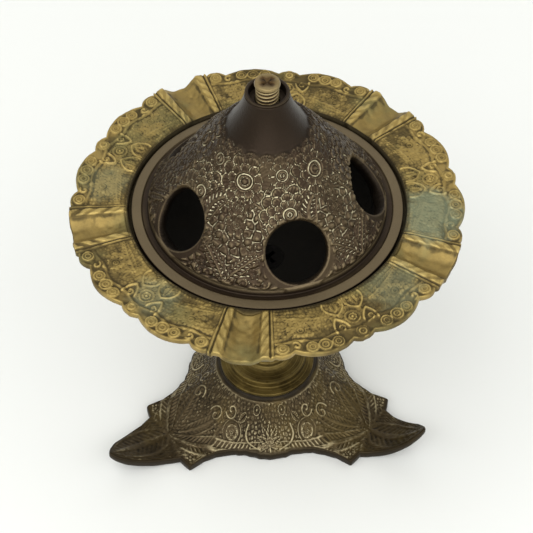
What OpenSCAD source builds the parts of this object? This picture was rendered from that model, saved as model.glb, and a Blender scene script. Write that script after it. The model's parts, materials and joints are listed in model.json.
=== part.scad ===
// Cast brass incense burner: a three-footed base, a turned pedestal, a
// scalloped bowl with five rests, and a pierced conical lid that lifts off.
// Millimetres, +Z up. The origin is on the turning axis, at ground level.

/* [Overall] */
// Height of the bowl's rim above the ground
rim_h = 90; // [75:1:110]
// Diameter across the outer corners of the rests
bowl_d = 112.2; // [104:0.1:136]

/* [Bowl] */
// Thickness of the flat flange
flange_t = 2.6; // [2:0.1:3.5]
// Thickness of the well's wall
bowl_wall = 2.4; // [1.8:0.1:3]
// Depth of the recess that holds the lid
recess_depth = 3.4; // [2.4:0.1:4.2]
// Width of the ledge that the lid sits on
ledge_w = 5.2; // [4:0.1:8]
// Depth of the well's floor below the rim
well_depth = 24; // [18:0.5:30]
// Diameter of the flat part of the well's floor
well_floor_d = 28; // [24:1:40]
// Height of the boss under the well
boss_h = 3.6; // [2:0.1:6]
// Diameter of the boss under the well
boss_d = 22; // [18:0.5:26]
// Angle of the first rest, anticlockwise from +X
rest_angle = 46.7; // [0:0.1:72]
// Width of the smooth channel in a rest
rest_w = 10.5; // [8:0.1:12]
// Depth of the channel in a rest
rest_depth = 2.3; // [1.5:0.1:2.6]
// Angle that each rest takes up on the flange
rest_span = 18.2; // [16:0.1:22]

/* [Lid] */
// Diameter of the lid's rim
lid_d = 77; // [64:0.5:86]
// Gap around the lid in its recess
lid_gap = 1; // [0.5:0.1:3]
// Thickness of the lid's flat rim
lid_rim_t = 2.1; // [1.6:0.1:3]
// Width of the lid's flat rim
lid_rim_w = 5.5; // [4:0.1:7]
// Height of the sloping relief zone above the rim
cone_h = 31.5; // [26:0.5:38]
// Diameter at the top of the relief zone
cone_top_d = 22; // [18:0.5:25]
// Height of the smooth neck above the relief zone
neck_h = 11.9; // [10:0.1:14.3]
// Diameter of the neck's top ring
lid_top_d = 12; // [11.5:0.1:14.4]
// Thickness of the lid's wall
lid_wall = 2.2; // [1.8:0.1:3]
// Diameter of a smoke hole
hole_d = 17.4; // [14:0.1:18]
// Angle of the first smoke hole, anticlockwise from +X
hole_angle = 69.15; // [0:0.05:72]
// Distance up the slope from its foot to the lower edge of a smoke hole
hole_foot = 0.2; // [0.2:0.1:5]

/* [Pedestal] */
// Diameter of the disc on the base
disc_d = 29.4; // [27:0.1:30]
// Thickness of the disc at its edge
disc_t = 1.6; // [1.2:0.1:2.4]
// Diameter of the raised platform on the disc
platform_d = 24.4; // [22:0.1:26]
// Height of the raised platform above the disc
platform_h = 1.6; // [1:0.1:2.2]
// Diameter of the bead above the platform
bead_d = 14; // [13:0.1:17]
// Diameter of the knop half way up the pedestal
knop_d = 19; // [16:0.5:23]
// Diameter of the pedestal's two necks
stem_neck_d = 11; // [10:0.5:12]
// Diameter of the flange under the bowl
top_flange_d = 22; // [18:0.5:26]

/* [Base] */
// Height of the base at the pedestal
base_h = 16.4; // [14:0.1:20]
// Thickness of the casting
cast_t = 2.4; // [2:0.1:3]
// Distance from the axis to the foot of each side, at its middle
side_reach = 27.5; // [24:0.5:33]
// Slope of the sides, in degrees
side_slope = 54.5; // [50:0.5:60]
// Length of a leaf, along its curl
leaf_l = 22; // [20:0.5:32]
// Distance from the axis at which the leaves start to curl
curl_from = 38; // [34:0.5:44]
// Angle of the first foot, anticlockwise from +X
foot_angle = 92; // [60:1:120]
// Sideways sweep of the leaves' tips, in degrees
leaf_sweep = 1; // [0:0.5:6]
// Height that the tip of each foot curls up, in order round the axis
tip_lift = [9, 8, 11.5]; // [0:0.5:12]

/* [Fastening] */
// Diameter of the tie bolt's shank
bolt_d = 5; // [4:0.1:6]
// Clearance of the bolt in its holes, on the radius
bolt_play = 0.2; // [0.1:0.05:0.4]
// Diameter of the tie bolt's countersunk head
bolt_head_d = 9.6; // [8:0.1:12]
// Diameter of the washer
washer_d = 11; // [10:0.5:14]
// Thickness of the washer
washer_t = 1; // [0.8:0.1:1.4]
// Width of the nut across its flats
nut_w = 8; // [8:0.1:10]
// Height of the nut
nut_h = 4; // [3:0.1:4.8]
// Length of bolt that stands out below the nut
bolt_tail = 1.6; // [0.5:0.1:2.4]
// Thread diameter of the finial screw
screw_d = 6.35; // [5.3:0.05:6.5]
// Thread pitch of the finial screw
screw_pitch = 1.27; // [1:0.01:1.5]
// Length of the finial screw's thread
screw_l = 12; // [10:0.5:14]
// Diameter of the screw's head at its widest
screw_head_d = 7; // [6.8:0.1:9]
// Height of the screw's head
screw_head_h = 1.2; // [1:0.1:2.2]
// Height of the head's top above the lid's top ring
screw_stand = 3.6; // [3:0.1:4.5]

/* [Hidden] */
$fn = 96;
eps = 0.01;
steps = 12;          // straight pieces in each drawn curve
rests = 5;
holes = 5;
hole_drift = [0, 0, -2.2, 2.2, 0];  // how far each hole was drilled off its even place, in degrees
feet = 3;
fit = 0.05;          // clearance of a thread in its tapped hole
plate_t = 3;         // metal between the base's hollow and its top
rest_pitch = 360 / rests;

// Bowl
bowl_r = bowl_d / 2;
recess_r = lid_d / 2 + lid_gap;
well_r = recess_r - ledge_w;
ledge_z = rim_h - recess_depth;
floor_z = rim_h - well_depth;
boss_z = floor_z - bowl_wall - boss_h;
// Each scallop is [angle from the section's middle, tip's distance inside bowl_r, radius]
scallops = [[0, 1.1, 5], [12.2, 0.1, 14], [-12.2, 0.1, 14], [24.6, 0.2, 4.2], [-24.6, 0.2, 4.2]];
scallop_root = 3.4;  // depth of the notches below bowl_r
channel_r = (rest_w * rest_w / 4 + rest_depth * rest_depth) / (2 * rest_depth);
channel_z = rim_h - rest_depth + channel_r;

// Lid
lid_top_z = ledge_z + lid_rim_t;
cone_r = lid_d / 2 - lid_rim_w;
cone_low_z = lid_top_z + 2;
cone_top_z = lid_top_z + cone_h;
ring_z = cone_top_z + neck_h;
slope = atan2(cone_top_z - cone_low_z, cone_r - cone_top_d / 2);
hole_rise = hole_foot + hole_d / 2;
hole_z = cone_low_z + hole_rise * sin(slope);
hole_r = cone_r - hole_rise * cos(slope);
socket_depth = 2.5;
socket_wall = 1;
neck_bend = 1.6;     // how sharply the neck flares

// Base
base_r = disc_d / 2 + 0.6;
wall_in = cast_t / sin(side_slope);
far = 2 * bowl_d;    // well beyond everything
// Each step of a leaf's outline is [share of its length, half its width]
blade = [[0, 9.3], [0.22, 7.7], [0.55, 5.8], [0.82, 3.8], [0.95, 1.8], [1, 0.3]];

// Fastening
seat_z = base_h - plate_t;
nut_z = seat_z - washer_t - nut_h;
bore_r = bolt_d / 2 + bolt_play;
sink_h = (bolt_head_d - bolt_d) / 2;  // a 90 degree countersink
head_drop = 0.2;     // head's depth below the well's floor
head_z = ring_z + screw_stand - screw_head_h;
thread_depth = 0.45 * screw_pitch;

function polar(r, a) = [r * cos(a), r * sin(a)];
// Height of a leg's flare at radius r, which is level with the casting at curl_from
function flare(r) = let (t = min(1, max(0, (r - base_r) / (curl_from - base_r))))
    cast_t + (base_h - cast_t) * pow(1 - t, 2);
function flare_points(drop) =
    [for (i = [0:steps]) let (r = base_r + (curl_from - base_r) * i / steps) [r, flare(r) - drop]];
// How far a leaf reaches beyond curl_from in plan, which is less the more it curls up
function leaf_run(lift) = (leaf_l + sqrt(leaf_l * leaf_l - 8 / 3 * lift * lift)) / 2;
// Height of a leaf's underside at a share of the way along it
function curl(share, lift) = lift * share * share;
// Quarter of an ellipse from [r, z_top] in to [r_in, z_low]
function dish(r_in, r, z_low, z_top) =
    [for (i = [0:steps]) let (a = 90 * i / steps) [r_in + (r - r_in) * cos(a), z_top - (z_top - z_low) * sin(a)]];
// The lid's neck, from the cone's top up to the ring
function neck_points() =
    [for (i = [0:steps]) let (t = i / steps)
        [lid_top_d / 2 + (cone_top_d - lid_top_d) / 2 * pow(1 - t, neck_bend), cone_top_z + neck_h * t]];

// What lies inside all three sloping sides whose feet are reach from the axis
module inside_sides(reach) {
    height = reach * tan(side_slope);
    intersection_for (i = [0:feet - 1])
        rotate([0, 0, foot_angle + 180 / feet + i * 360 / feet])
            rotate([90, 0, 0])
                translate([0, 0, -far])
                    linear_extrude(2 * far)
                        polygon([[reach, 0], [reach, -1], [-far, -1], [-far, height], [0, height]]);
}

// One leaf-shaped foot along +X, with a small point on each side, whose tip curls up by lift
module leaf_foot(lift) {
    run = leaf_run(lift);
    side = [for (i = [0:steps]) [curl_from + run * i / steps, curl(i / steps, lift)]];
    top = [for (i = [steps:-1:0]) side[i] + [0, cast_t]];
    sweep = (curl_from + run) * tan(leaf_sweep);
    right = [for (b = blade) [curl_from + run * b[0], sweep * b[0] * b[0] - b[1]]];
    left = [for (i = [len(blade) - 1:-1:0]) right[i] + [0, 2 * blade[i][1]]];
    plan = concat([[0, 0], polar(side_reach + 0.5, -31), polar(curl_from + 1.3, -20.3)], right,
                  left, [polar(curl_from + 1.3, 20.3), polar(side_reach + 0.5, 31)]);
    intersection() {
        linear_extrude(lift + cast_t)
            polygon(plan);
        rotate([90, 0, 0])
            translate([0, 0, -curl_from])
                linear_extrude(2 * curl_from)
                    polygon(concat([[0, 0]], side, top, [[0, cast_t]]));
    }
}

module tripod_base() {
    color("#54492f")
        difference() {
            union() {
                intersection() {
                    rotate_extrude()
                        polygon(concat([[0, 0], [0, base_h]], flare_points(0), [[curl_from, 0]]));
                    inside_sides(side_reach);
                }
                for (i = [0:feet - 1])
                    rotate([0, 0, foot_angle + i * 360 / feet])
                        leaf_foot(tip_lift[i]);
            }
            intersection() {
                rotate_extrude()
                    polygon(concat([[0, -1], [0, seat_z]], flare_points(plate_t), [[curl_from, -1]]));
                translate([0, 0, -eps])
                    inside_sides(side_reach - wall_in);
            }
            cylinder(r = bore_r, h = base_h + 1);
        }
}

module pedestal_stem() {
    platform_z = base_h + disc_t + platform_h;
    bead_z = platform_z + 2.6;
    top_z = boss_z;
    knop_z = (bead_z + top_z) / 2;
    knop_h = 0.4 * knop_d;
    neck_r = stem_neck_d / 2;
    knop = [for (i = [0:steps]) let (a = -90 + 180 * i / steps)
        [neck_r + (knop_d / 2 - neck_r) * cos(a), knop_z + knop_h * sin(a)]];
    fillet = [for (i = [0:steps]) let (a = 90 * i / steps)
        [platform_d / 2 - (platform_d - bead_d) / 2 * sin(a), bead_z - 2 * cos(a)]];
    color("#7a6a3c")
        difference() {
            rotate_extrude()
                polygon(concat(
                    [[0, base_h], [disc_d / 2, base_h], [disc_d / 2, base_h + disc_t - 0.4],
                     [platform_d / 2, base_h + disc_t], [platform_d / 2, platform_z]],
                    fillet,
                    [[bead_d / 2, bead_z + 1], [neck_r, bead_z + 2]],
                    knop,
                    [[neck_r, top_z - 5], [top_flange_d / 2, top_z - 2], [top_flange_d / 2, top_z], [0, top_z]]));
            translate([0, 0, base_h - 1])
                cylinder(r = bore_r, h = top_z - base_h + 2);
        }
}

// The flange seen from above: five sections of scallops between five square-ended rests
module flange_plan() {
    circle(r = bowl_r - scallop_root);
    for (i = [0:rests - 1])
        rotate(rest_angle + i * rest_pitch) {
            for (s = scallops)
                rotate(rest_pitch / 2 + s[0])
                    translate([bowl_r - s[1] - s[2], 0])
                        circle(r = s[2]);
            intersection() {
                circle(r = bowl_r);
                polygon([[0, 0], polar(bowl_d, -rest_span / 2), polar(bowl_d, rest_span / 2)]);
            }
        }
}

// A rod of radius r that lies along each rest, from the recess's edge outwards
module along_rests(r, from) {
    for (i = [0:rests - 1])
        rotate([0, 0, rest_angle + i * rest_pitch])
            translate([from, 0, channel_z])
                rotate([0, 90, 0])
                    cylinder(r = r, h = bowl_r);
}

module bowl() {
    color("#82703d")
        difference() {
            union() {
                translate([0, 0, rim_h - flange_t])
                    linear_extrude(flange_t)
                        flange_plan();
                intersection() {
                    along_rests(channel_r + bowl_wall, recess_r + bowl_wall / 2);
                    translate([0, 0, ledge_z - bowl_wall])
                        linear_extrude(rim_h - ledge_z + bowl_wall)
                            flange_plan();
                }
                rotate_extrude()
                    polygon(concat(
                        [[0, rim_h - flange_t], [recess_r + bowl_wall, rim_h - flange_t],
                         [recess_r + bowl_wall, ledge_z - bowl_wall]],
                        dish(well_floor_d / 2, well_r + bowl_wall, floor_z - bowl_wall, ledge_z - bowl_wall),
                        [[0, floor_z - bowl_wall]]));
                translate([0, 0, boss_z])
                    cylinder(d = boss_d, h = boss_h + eps);
            }
            rotate_extrude()
                polygon(concat(
                    [[0, rim_h + 1], [recess_r, rim_h + 1], [recess_r, ledge_z]],
                    dish(well_floor_d / 2, well_r, floor_z, ledge_z),
                    [[0, floor_z]]));
            along_rests(channel_r, recess_r - 1);
            translate([0, 0, boss_z - 1])
                cylinder(r = bore_r, h = boss_h + bowl_wall + 2);
            translate([0, 0, floor_z - sink_h - head_drop])
                cylinder(r1 = bore_r, r2 = bolt_head_d / 2 + bolt_play, h = sink_h);
            translate([0, 0, floor_z - head_drop - eps])
                cylinder(r = bolt_head_d / 2 + bolt_play, h = 1);
        }
}

// Rods that point straight out of the lid's slope, one for each smoke hole
module smoke_holes() {
    for (i = [0:holes - 1])
        rotate([0, 0, hole_angle + i * 360 / holes + hole_drift[i]])
            translate([hole_r, 0, hole_z])
                rotate([0, slope, 0])
                    translate([0, 0, -4 * lid_wall])
                        cylinder(d = hole_d, h = 8 * lid_wall);
}

module lid() {
    across = lid_wall / sin(slope);
    inner_top_z = cone_top_z + 1;
    inner_top_r = cone_top_d / 2 - across - 1 / tan(slope);
    color("#3f3524")
        difference() {
            rotate_extrude()
                polygon(concat(
                    [[0, ledge_z], [lid_d / 2, ledge_z], [lid_d / 2, lid_top_z - 0.3],
                     [lid_d / 2 - 0.3, lid_top_z], [cone_r + 2, lid_top_z + 0.3],
                     [cone_r + 1.7, lid_top_z - 0.2], [cone_r + 0.9, lid_top_z - 0.2],
                     [cone_r + 0.6, cone_low_z - 0.6 * tan(slope)], [cone_r, cone_low_z]],
                    neck_points(),
                    [[0, ring_z]]));
            rotate_extrude()
                polygon([[0, ledge_z - 1], [cone_r - across, ledge_z - 1], [cone_r - across, cone_low_z],
                         [inner_top_r, inner_top_z], [0, inner_top_z]]);
            smoke_holes();
            translate([0, 0, ring_z - socket_depth])
                cylinder(d = lid_top_d - 2 * socket_wall, h = socket_depth + 1);
            translate([0, 0, inner_top_z - 1])
                cylinder(d = screw_d + 2 * fit, h = ring_z - inner_top_z);
        }
}

// Two crossed slots, for a cross-point driver, cut down from z = 0
module cross_slots(span, width, depth) {
    for (a = [45, 135])
        rotate([0, 0, a])
            translate([-span / 2, -width / 2, -depth])
                cube([span, width, depth + 1]);
}

module finial_screw() {
    turns = floor(screw_l / screw_pitch);
    crest_r = screw_d / 2;
    root_r = crest_r - thread_depth;
    tip_z = head_z - turns * screw_pitch;
    thread = [for (i = [0:turns - 1], k = [0, 1])
        [k == 0 ? root_r : crest_r, tip_z + (i + k / 2) * screw_pitch]];
    color("#8d8268")
        difference() {
            union() {
                rotate_extrude()
                    polygon(concat([[0, tip_z]], thread, [[root_r, head_z + eps], [0, head_z + eps]]));
                translate([0, 0, head_z])
                    cylinder(d1 = screw_head_d, d2 = screw_head_d - 0.5, h = screw_head_h);
            }
            translate([0, 0, head_z + screw_head_h])
                cross_slots(0.5 * screw_head_d, 0.8, 0.9);
        }
}

module tie_bolt() {
    low_z = nut_z - bolt_tail;
    top_z = floor_z - head_drop;
    color("#a09c8c")
        difference() {
            rotate_extrude()
                polygon([[0, low_z], [bolt_d / 2, low_z], [bolt_d / 2, top_z - sink_h],
                         [bolt_head_d / 2, top_z], [0, top_z]]);
            translate([0, 0, top_z])
                cross_slots(0.6 * bolt_head_d, 1.2, 1.6);
        }
}

module base_washer() {
    color("#a09c8c")
        translate([0, 0, seat_z - washer_t])
            difference() {
                cylinder(d = washer_d, h = washer_t);
                translate([0, 0, -1])
                    cylinder(r = bore_r, h = washer_t + 2);
            }
}

// A hexagon nut whose corners are chamfered at both ends
module base_nut() {
    flat_r = nut_w / 2;
    corner_r = flat_r / cos(30) + 0.1;
    chamfer = 0.5 * (corner_r - flat_r);
    color("#a09c8c")
        translate([0, 0, nut_z])
            difference() {
                intersection() {
                    cylinder(d = nut_w / cos(30), h = nut_h, $fn = 6);
                    rotate_extrude()
                        polygon([[0, 0], [flat_r, 0], [corner_r, chamfer],
                                 [corner_r, nut_h - chamfer], [flat_r, nut_h], [0, nut_h]]);
                }
                translate([0, 0, -1])
                    cylinder(r = bolt_d / 2 + fit, h = nut_h + 2);
            }
}

tripod_base();
pedestal_stem();
bowl();
lid();
finial_screw();
tie_bolt();
base_washer();
base_nut();
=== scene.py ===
import json
import math

import bpy
import numpy as np
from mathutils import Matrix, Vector


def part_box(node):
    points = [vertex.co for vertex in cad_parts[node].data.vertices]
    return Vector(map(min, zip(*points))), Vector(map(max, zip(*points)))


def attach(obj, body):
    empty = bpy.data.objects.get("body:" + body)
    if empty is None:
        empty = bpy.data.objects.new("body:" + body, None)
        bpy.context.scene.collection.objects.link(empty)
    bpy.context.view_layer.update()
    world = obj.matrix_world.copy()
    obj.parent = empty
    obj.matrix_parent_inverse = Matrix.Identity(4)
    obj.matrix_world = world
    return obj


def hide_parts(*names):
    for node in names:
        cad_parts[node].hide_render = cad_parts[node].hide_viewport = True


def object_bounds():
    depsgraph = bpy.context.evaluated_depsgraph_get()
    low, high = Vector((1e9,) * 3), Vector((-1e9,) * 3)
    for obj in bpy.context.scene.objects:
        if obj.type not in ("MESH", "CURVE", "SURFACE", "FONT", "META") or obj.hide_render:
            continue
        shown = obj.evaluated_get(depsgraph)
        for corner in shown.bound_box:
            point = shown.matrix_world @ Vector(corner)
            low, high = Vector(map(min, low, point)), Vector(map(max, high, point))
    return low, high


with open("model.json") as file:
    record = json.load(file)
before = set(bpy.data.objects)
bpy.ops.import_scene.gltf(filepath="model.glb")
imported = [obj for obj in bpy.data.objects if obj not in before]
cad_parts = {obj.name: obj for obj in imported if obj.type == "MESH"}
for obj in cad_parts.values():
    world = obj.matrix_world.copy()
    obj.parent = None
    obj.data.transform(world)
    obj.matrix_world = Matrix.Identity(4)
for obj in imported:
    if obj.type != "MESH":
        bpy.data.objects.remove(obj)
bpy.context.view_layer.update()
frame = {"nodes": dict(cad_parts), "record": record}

MM = 0.001
BARE = -9.0  # height given where a motif covers nothing
FAR = 1e9  # more than any distance here

# ---------------------------------------------------------------- sizes, mm


def span(node):
    """A CAD node's lowest and highest corner, in mm."""
    low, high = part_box(node)
    return np.array(low) / MM, np.array(high) / MM


BOWL_LOW, BOWL_HIGH = span("bowl")
LID_LOW, LID_HIGH = span("lid")
STEM_LOW, STEM_HIGH = span("pedestal_stem")
SCREW_LOW, SCREW_HIGH = span("finial_screw")
BOLT_HIGH = span("tie_bolt")[1]

RIM_Z = BOWL_HIGH[2]
LEDGE_Z = LID_LOW[2]
RING_Z = LID_HIGH[2]
GROUND_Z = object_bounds()[0][2] / MM

# Bowl
BOWL_R = 56.1
RECESS_R = 39.5
WELL_R = 34.3
WELL_FLOOR_R = 14.0
FLANGE_T = 2.6
BOWL_WALL = 2.4
WELL_FLOOR_Z = BOLT_HIGH[2] + 0.2
BOSS_R = 11.0
FLANGE_MEAN_R = 48
EDGE_MEAN_R = 40
RESTS = 5
REST_ANGLE = 46.7
REST_HALF = 9.1
REST_DEPTH = 2.3
SECTION_HALF = 180 / RESTS
SCALLOPS = ((0, 55.0, 5.0), (12.2, 56.0, 14.0), (-12.2, 56.0, 14.0), (24.6, 55.9, 4.2), (-24.6, 55.9, 4.2))
SCALLOP_ROOT_R = 52.7

# Lid
LID_R = (LID_HIGH[0] - LID_LOW[0]) / 2
LID_TOP_Z = LEDGE_Z + 2.1
CONE_FOOT = np.array((33.0, LID_TOP_Z + 2.0))
CONE_TOP = np.array((11.0, RING_Z - 11.9))
CONE_L = float(np.hypot(*(CONE_TOP - CONE_FOOT)))
CONE_ALONG = (CONE_TOP - CONE_FOOT) / CONE_L
CONE_OUT = np.array((CONE_ALONG[1], -CONE_ALONG[0]))
LID_RING_R = 6.0
LID_BORE_R = 30.2
LID_MEAN_R = 24
NECK_ROWS = 24
SOCKET_ROWS = 18
PANELS = 5
PANEL_ANGLE = 33.15
RELIEF_FROM = -0.9
RELIEF_ROWS = 122
GROOVE_OUT = (35.7, LID_TOP_Z + 0.25)
GROOVE_IN = (33.9, LID_TOP_Z - 0.2)
SCREW_HOLE_R = 3.23
HOLE_R = 8.7
HOLE_RISE = 8.9
HOLE_ANGLES = [
    math.degrees(math.atan2(low[1] + high[1], low[0] + high[0]))
    for low, high in (
        opening["box_m"] for opening in frame["record"]["physics"]["openings"]
        if opening["name"].startswith("smoke_hole")
    )
]

# Base
FEET = 3
FOOT_ANGLE = 92.0
BASE_H = STEM_LOW[2]
CAST_T = 2.4
DISC_R = (STEM_HIGH[0] - STEM_LOW[0]) / 2
BASE_TOP_R = DISC_R + 0.6
BOLT_HOLE_R = 2.7
PLATFORM_R = 12.2
STEM_R = 5.5
SEAT_R = 11.0
CURL_FROM = 38.0
LEAF_L = 22.0
LEAF_SWEEP = 1.0
TIP_LIFT = np.array((9.0, 8.0, 11.5))
LEAF_RUN = (LEAF_L + np.sqrt(LEAF_L**2 - 8 / 3 * TIP_LIFT**2)) / 2
BLADE = ((0, 9.3), (0.22, 7.7), (0.55, 5.8), (0.82, 3.8), (0.95, 1.8), (1, 0.3))
SKIRT = (
    (20.3, 39.3), (22.6, 34.3), (26.5, 31.0), (31.5, 28.6), (37, 27.1), (44, 26.5), (52, 26.9), (60, 27.4)
)


# ---------------------------------------------------------------- numbers


def smooth(low, high, x):
    """0 below low, 1 above high, eased between them. low may be the larger."""
    t = np.clip((x - low) / (high - low), 0, 1)
    return t * t * (3 - 2 * t)


def dome(d):
    """A round top over -1..1, and 0 outside."""
    return np.sqrt(np.clip(1 - d * d, 0, 1))


def wrap(degrees):
    """An angle brought into -180..180."""
    return (degrees + 180) % 360 - 180


def heading(degrees):
    """The cosine and sine of an angle."""
    return math.cos(math.radians(degrees)), math.sin(math.radians(degrees))


def hashed(i, j, seed):
    """A fixed pseudo-random number from 0 to 1 for each lattice point."""
    n = np.sin(i * 127.1 + j * 311.7 + seed * 74.7) * 43758.5453
    return n - np.floor(n)


def noise(x, y, cell, seed):
    """Smooth value noise from 0 to 1 with features about one cell across."""
    i, j = np.floor(x / cell), np.floor(y / cell)
    u, v = smooth(0, 1, x / cell - i), smooth(0, 1, y / cell - j)
    low = hashed(i, j, seed) * (1 - u) + hashed(i + 1, j, seed) * u
    high = hashed(i, j + 1, seed) * (1 - u) + hashed(i + 1, j + 1, seed) * u
    return low * (1 - v) + high * v


def scattered(x, y, cell, seed):
    """Offset from the nearest jittered lattice point, how much further off the next is, and a number."""
    i0, j0 = np.floor(x / cell), np.floor(y / cell)
    best, second = np.full_like(x, FAR), np.full_like(x, FAR)
    near = [np.zeros_like(x) for _ in range(3)]
    for di in (-1, 0, 1):
        for dj in (-1, 0, 1):
            i, j = i0 + di, j0 + dj
            dx = x - (i + 0.15 + 0.7 * hashed(i, j, seed)) * cell
            dy = y - (j + 0.15 + 0.7 * hashed(i, j, seed + 1)) * cell
            d = np.hypot(dx, dy)
            closer = d < best
            second = np.where(closer, best, np.minimum(second, d))
            best = np.where(closer, d, best)
            for keep, new in zip(near, (dx, dy, hashed(i, j, seed + 2))):
                keep[closer] = new[closer]
    dx, dy, pick = near
    return dx, dy, second - best, pick


def line_distance(x, y, points):
    """Distance to a line through points, and how far along it the nearest place is, from 0 to 1."""
    points = np.asarray(points, float)
    steps = np.diff(points, axis=0)
    lengths = np.hypot(steps[:, 0], steps[:, 1])
    start = np.concatenate(([0], np.cumsum(lengths)))
    best, along = np.full_like(x, FAR), np.zeros_like(x)
    for (px, py), (sx, sy), length, done in zip(points, steps, lengths, start):
        t = np.clip(((x - px) * sx + (y - py) * sy) / (length * length), 0, 1)
        d = np.hypot(x - px - sx * t, y - py - sy * t)
        closer = d < best
        best[closer] = d[closer]
        along[closer] = (done + t[closer] * length) / start[-1]
    return best, along


def bent(points, steps=8):
    """A smooth line through three points."""
    a, b, c = (np.array(p, float) for p in points)
    t = np.linspace(0, 1, steps)[:, None]
    middle = 2 * b - (a + c) / 2
    return (1 - t) ** 2 * a + 2 * t * (1 - t) * middle + t * t * c


# ---------------------------------------------------------------- motifs
# Each maker returns a function of x and y, in mm from the motif's middle,
# that gives heights in mm, or BARE outside the motif.


def bead(radius, lift=0.6):
    def shape(x, y):
        d = np.hypot(x, y) / radius
        return np.where(d < 1, lift * dome(d), BARE)

    return shape


def rings(radius, count, lift=0.6):
    """A boss of concentric rings round a central bead."""

    def shape(x, y):
        d = np.hypot(x, y) / radius
        wave = 0.5 + 0.5 * np.cos(d * count * 2 * math.pi)
        h = lift * (0.25 + 0.75 * wave) * smooth(1, 0.9, d)
        return np.where(d < 1, h, BARE)

    return shape


def flower(radius, petals, rows=2, lift=0.7, eye=0.3):
    """Overlapping rows of petals with rounded tips and fine lines, round a ringed eye."""

    def shape(x, y):
        r, a = np.hypot(x, y) / radius, np.arctan2(y, x)
        h = np.full_like(r, BARE)
        for row in range(rows):
            reach = 1 - row * (1 - eye) / rows
            turn = a * petals / 2 + row * math.pi / 2
            lobe = np.abs(np.cos(turn))
            t = r / (reach * (0.8 + 0.2 * lobe**0.7))
            top = lift * (0.5 + 0.12 * row + 0.38 * t**3)
            top *= 0.3 + 0.7 * smooth(0, 0.35, lobe)
            top += 0.07 * lift * np.cos(9 * turn)
            h = np.where(t < 1, top * smooth(1, 0.93, t), h)
        t = r / eye
        centre = lift * (0.6 + 0.35 * np.cos(t * 4 * math.pi))
        return np.where(t < 1, centre, h)

    return shape


def leaf(length, width, bend=0.0, veins=6, lift=0.6):
    """A blade along +x from the origin, with a grooved midrib, slanting veins and raised edges."""

    def shape(x, y):
        t = x / length
        inside = (t > 0) & (t < 1)
        tc = np.clip(t, 0, 1)
        half = width * np.sin(math.pi * tc**0.75) ** 0.8 + 1e-6
        d = np.abs(y - bend * length * tc * tc) / half
        h = 0.55 + 0.25 * dome(d) + 0.35 * smooth(0.6, 0.85, d)
        h -= 0.55 * smooth(0.22, 0.06, d)
        h += 0.18 * np.cos(2 * math.pi * (veins * tc - 0.8 * d)) * smooth(0.15, 0.3, d)
        h *= lift * smooth(1, 0.88, d)
        return np.where(inside & (d < 1), h, BARE)

    return shape


def stroke(points, width, lift=0.6, taper=0.0):
    """A rounded raised line through points."""

    def shape(x, y):
        d, along = line_distance(x, y, points)
        half = width * (1 - taper * along)
        return np.where(d < half, lift * dome(d / half), BARE)

    return shape


def scroll(radius, width, turns=1.4, lift=0.6):
    """A spiral line that winds out anticlockwise."""
    t = np.linspace(0.12, 1, 26)
    a = t * turns * 2 * math.pi
    return stroke(np.stack([radius * t * np.cos(a), radius * t * np.sin(a)], 1), width, lift)


def frond(points, width, pitch, lift=0.6):
    """A leaf along a line: a raised midrib and edges, with slanting bars between."""
    length = float(np.hypot(*np.diff(points, axis=0).T).sum())

    def shape(x, y):
        d, along = line_distance(x, y, points)
        half = width * np.sin(math.pi * np.clip(along, 0.01, 0.99) ** 0.8) ** 0.6
        side = d / half
        bars = 0.5 + 0.5 * np.cos(2 * math.pi * (along * length - 0.8 * d) / pitch)
        h = 0.3 + 0.45 * bars
        h = np.maximum(h, 0.85 * smooth(0.3, 0.15, side))
        h = np.maximum(h, 0.8 * dome((side - 0.86) / 0.14))
        return np.where(side < 1, lift * h, BARE)

    return shape


def arch(width, height, lift=0.6):
    """A pointed arch with a small leaf inside it, standing on y = 0."""
    side = [(-width, 0), (-width * 0.95, height * 0.55), (0, height)]
    outline = np.vstack([bent(side), bent([(-px, py) for px, py in side])[::-1]])
    line = stroke(outline, 0.34, lift)
    inner = leaf(height * 0.72, width * 0.42, lift=lift * 0.8)

    def shape(x, y):
        return np.maximum(line(x, y), inner(y - height * 0.08, x))

    return shape


def heart(width, height, lift=0.6):
    """A heart with raised edges round a curl, whose point is at the origin and whose top is at y = height."""
    side = [(0, 0), (-width * 0.75, height * 0.45), (-width, height * 0.95)]
    outline = np.vstack([bent(side)[::-1], bent([(-px, py) for px, py in side])])
    line = stroke(outline, 0.42, lift)
    curl = scroll(width * 0.55, 0.28, 1.2, lift)

    def shape(x, y):
        t = y / height
        floor = np.where((t > 0) & (t < 1) & (np.abs(x) < width * t**0.7), 0.25 * lift, BARE)
        return np.maximum(np.maximum(line(x, y), curl(x, y - height * 0.72)), floor)

    return shape


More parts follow.
